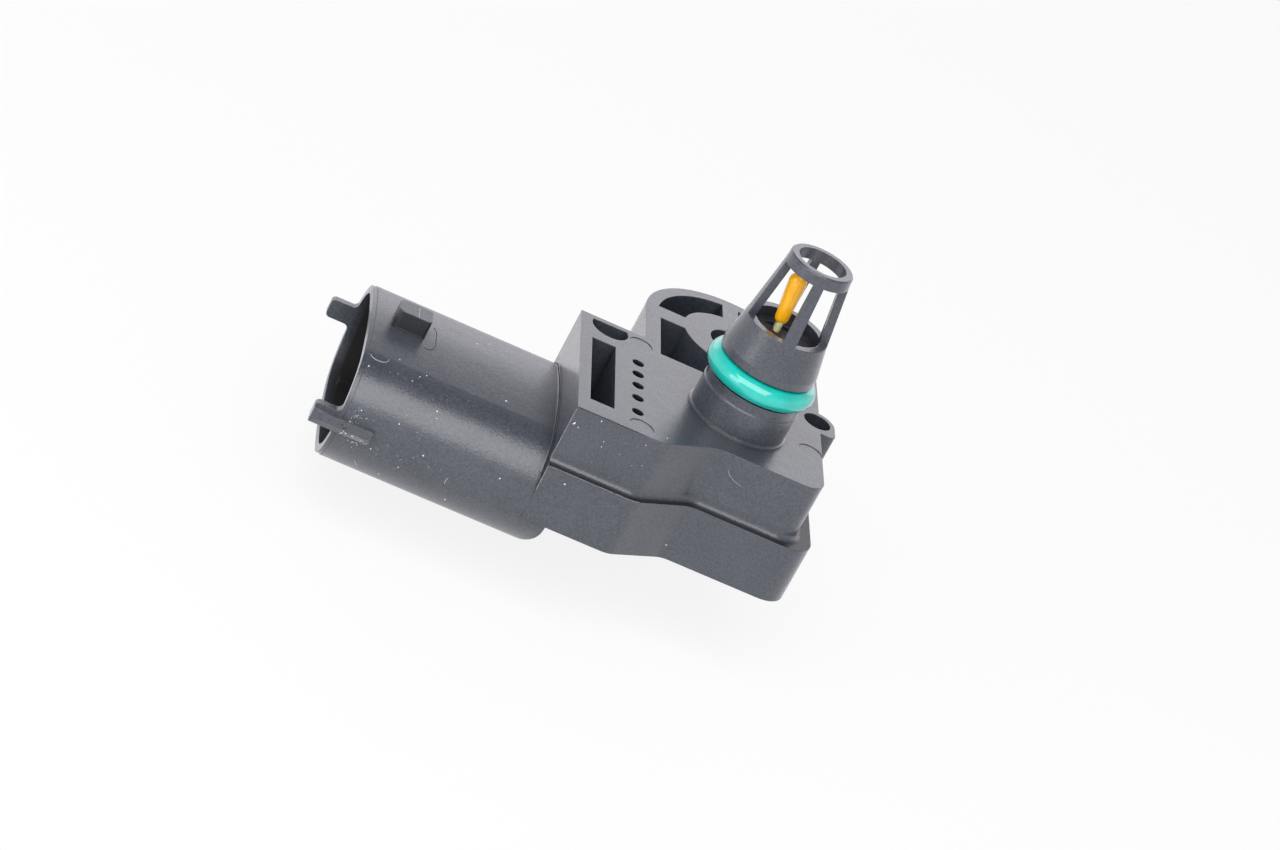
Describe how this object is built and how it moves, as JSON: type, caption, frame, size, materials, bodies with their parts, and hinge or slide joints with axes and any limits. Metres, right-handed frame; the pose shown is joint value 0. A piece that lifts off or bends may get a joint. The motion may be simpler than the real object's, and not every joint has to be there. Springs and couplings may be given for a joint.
{
  "type": "manifold absolute pressure sensor",
  "caption": "Engine pressure and air temperature sensor: a port with a seal and a caged bead, a screw ear and an oval connector shroud.",
  "frame": {"origin": "where the port's axis meets the mounting face", "axes": "+Z along the port, away from the mounting face; the connector's mouth faces -X; +Y points to the screw ear"},
  "size_m": [0.0568, 0.0446, 0.0407],
  "materials": {
    "housing_plastic": "moulded, glass-filled, satin",
    "cover_plastic": "moulded, satin",
    "silicone_adhesive": "cured silicone",
    "tinned_contact": "tin plated, satin",
    "lead_wire": "tinned wire",
    "potting_resin": "cured resin, glossy",
    "sleeve_plastic": "thin insulating sleeve",
    "bead_coating": "glossy amber coating",
    "seal_rubber": "teal seal rubber, slightly glossy",
    "board_ceramic": "fired ceramic",
    "pedestal_glass": "clear",
    "chip_silicon": "polished silicon",
    "frame_plastic": "moulded",
    "clear_gel": "clear soft gel",
    "capacitor_ceramic": "fired ceramic",
    "resistor_film": "overglazed film",
    "bond_wire": "drawn wire"
  },
  "bodies": {
    "root": {"housing": "housing_plastic", "terminal_supply": "tinned_contact", "terminal_ground": "tinned_contact", "terminal_temperature": "tinned_contact", "terminal_pressure": "tinned_contact", "thermistor_lead_ground": "lead_wire", "thermistor_lead_signal": "lead_wire", "thermistor_resin": "potting_resin", "thermistor_sleeve": "sleeve_plastic", "thermistor_bead": "bead_coating", "port_o_ring": "seal_rubber", "back_cover": "cover_plastic", "cover_adhesive": "silicone_adhesive", "circuit_board": "board_ceramic", "board_adhesive_front": "silicone_adhesive", "board_adhesive_back": "silicone_adhesive", "glass_pedestal": "pedestal_glass", "pressure_chip": "chip_silicon", "gel_frame": "frame_plastic", "protective_gel": "clear_gel", "signal_chip": "chip_silicon", "filter_capacitor_1": "capacitor_ceramic", "trim_resistor_1": "resistor_film", "filter_capacitor_2": "capacitor_ceramic", "trim_resistor_2": "resistor_film", "filter_capacitor_3": "capacitor_ceramic", "trim_resistor_3": "resistor_film", "bond_wire_supply": "bond_wire", "bond_wire_ground": "bond_wire", "bond_wire_temperature": "bond_wire", "bond_wire_pressure": "bond_wire"}
  },
  "joints": []
}
